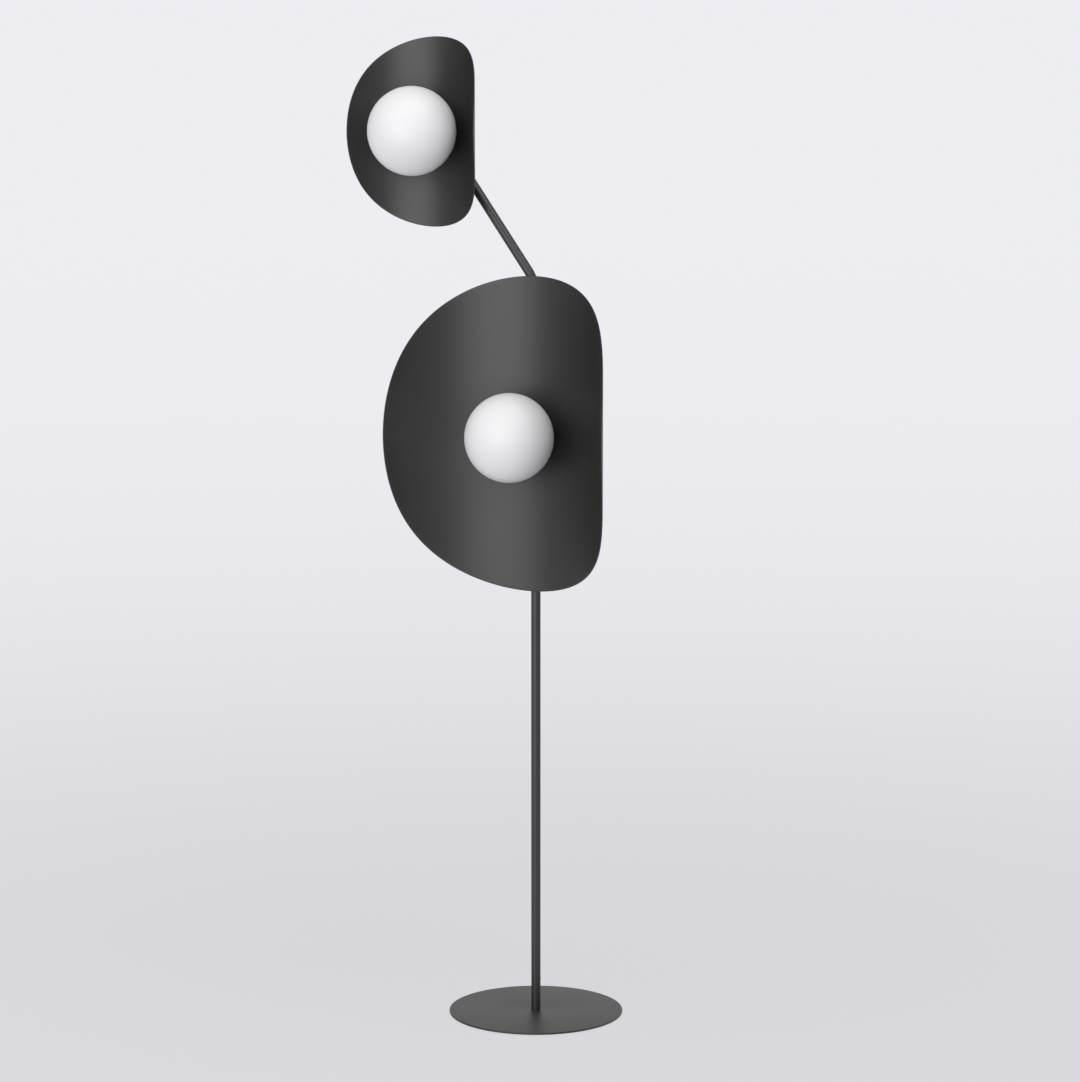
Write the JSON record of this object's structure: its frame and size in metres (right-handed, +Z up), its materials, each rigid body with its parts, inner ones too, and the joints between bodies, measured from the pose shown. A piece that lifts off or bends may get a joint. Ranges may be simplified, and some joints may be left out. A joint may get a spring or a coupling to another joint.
{
  "type": "floor lamp",
  "caption": "Free-standing floor lamp: round plate, slim pole with a bent arm, rolled round shades, each with an opal globe.",
  "frame": {"origin": "centre of the foot's underside, on the floor under the pole's axis", "axes": "+Z up along the pole; the globes face -Y; the arm leans towards -X"},
  "size_m": [0.4848, 0.2974, 1.5653],
  "materials": {
    "powder_coat": "matte charcoal black powder coat",
    "felt": "pressed felt",
    "plated_steel": "zinc plated",
    "dark_screw": "black oxide",
    "brass": "turned",
    "slip_plastic": "smooth low-friction plastic",
    "plug_plastic": "fine matte",
    "soft_rubber": "matte",
    "opal_glass": "satin white opal",
    "holder_plastic": "moulded",
    "bulb_cap_metal": "rolled",
    "bulb_plastic": "white",
    "lead_sheath": "matte"
  },
  "bodies": {
    "stand": {"base_pad": "felt", "base_plate": "powder_coat", "base_spigot": "plated_steel", "foot_screw": "dark_screw", "lower_pole": "powder_coat", "inlet_grommet": "soft_rubber", "supply_lead": "lead_sheath", "lead_connector": "holder_plastic", "lower_head_lead": "lead_sheath", "riser_lead": "lead_sheath", "swivel_insert": "brass", "insert_screw": "dark_screw", "swivel_washer": "slip_plastic", "lower_boss": "powder_coat", "lower_nipple": "plated_steel", "lower_rear_washer": "slip_plastic", "lower_wave_washer": "plated_steel", "lower_jam_nut": "plated_steel", "lower_globe_seat": "powder_coat", "lower_globe_gasket": "soft_rubber", "lower_globe_collar": "powder_coat", "lower_globe": "opal_glass", "lower_holder_body": "holder_plastic", "lower_holder_shell": "brass", "lower_holder_contact": "brass", "lower_bulb_cap": "bulb_cap_metal", "lower_bulb_body": "bulb_plastic", "lower_bulb_dome": "bulb_plastic"},
    "lower_shade_turning": {"lower_rear_saddle": "powder_coat", "lower_shade": "powder_coat", "lower_front_saddle": "powder_coat"},
    "arm": {"arm_tube": "powder_coat", "arm_end_plug": "plug_plastic", "arm_stop_screw": "dark_screw", "arm_lead": "lead_sheath", "upper_boss": "powder_coat", "upper_nipple": "plated_steel", "upper_rear_washer": "slip_plastic", "upper_wave_washer": "plated_steel", "upper_jam_nut": "plated_steel", "upper_globe_seat": "powder_coat", "upper_globe_gasket": "soft_rubber", "upper_globe_collar": "powder_coat", "upper_globe": "opal_glass", "upper_holder_body": "holder_plastic", "upper_holder_shell": "brass", "upper_holder_contact": "brass", "upper_bulb_cap": "bulb_cap_metal", "upper_bulb_body": "bulb_plastic", "upper_bulb_dome": "bulb_plastic"},
    "upper_shade_turning": {"upper_rear_saddle": "powder_coat", "upper_shade": "powder_coat", "upper_front_saddle": "powder_coat"}
  },
  "joints": [
    {"name": "arm_swing", "type": "hinge", "parent": "stand", "child": "arm", "pos_m": [0, 0, 1.0792], "axis": [0, 0, 1], "range_deg": [-205, 25]},
    {"name": "lower_shade_turn", "type": "hinge", "parent": "stand", "child": "lower_shade_turning", "pos_m": [0, -0.01425, 0.9392], "axis": [0, 1, 0], "continuous": true},
    {"name": "upper_shade_turn", "type": "hinge", "parent": "arm", "child": "upper_shade_turning", "pos_m": [-0.17414, -0.01425, 1.41533], "axis": [0, 1, 0], "continuous": true}
  ]
}
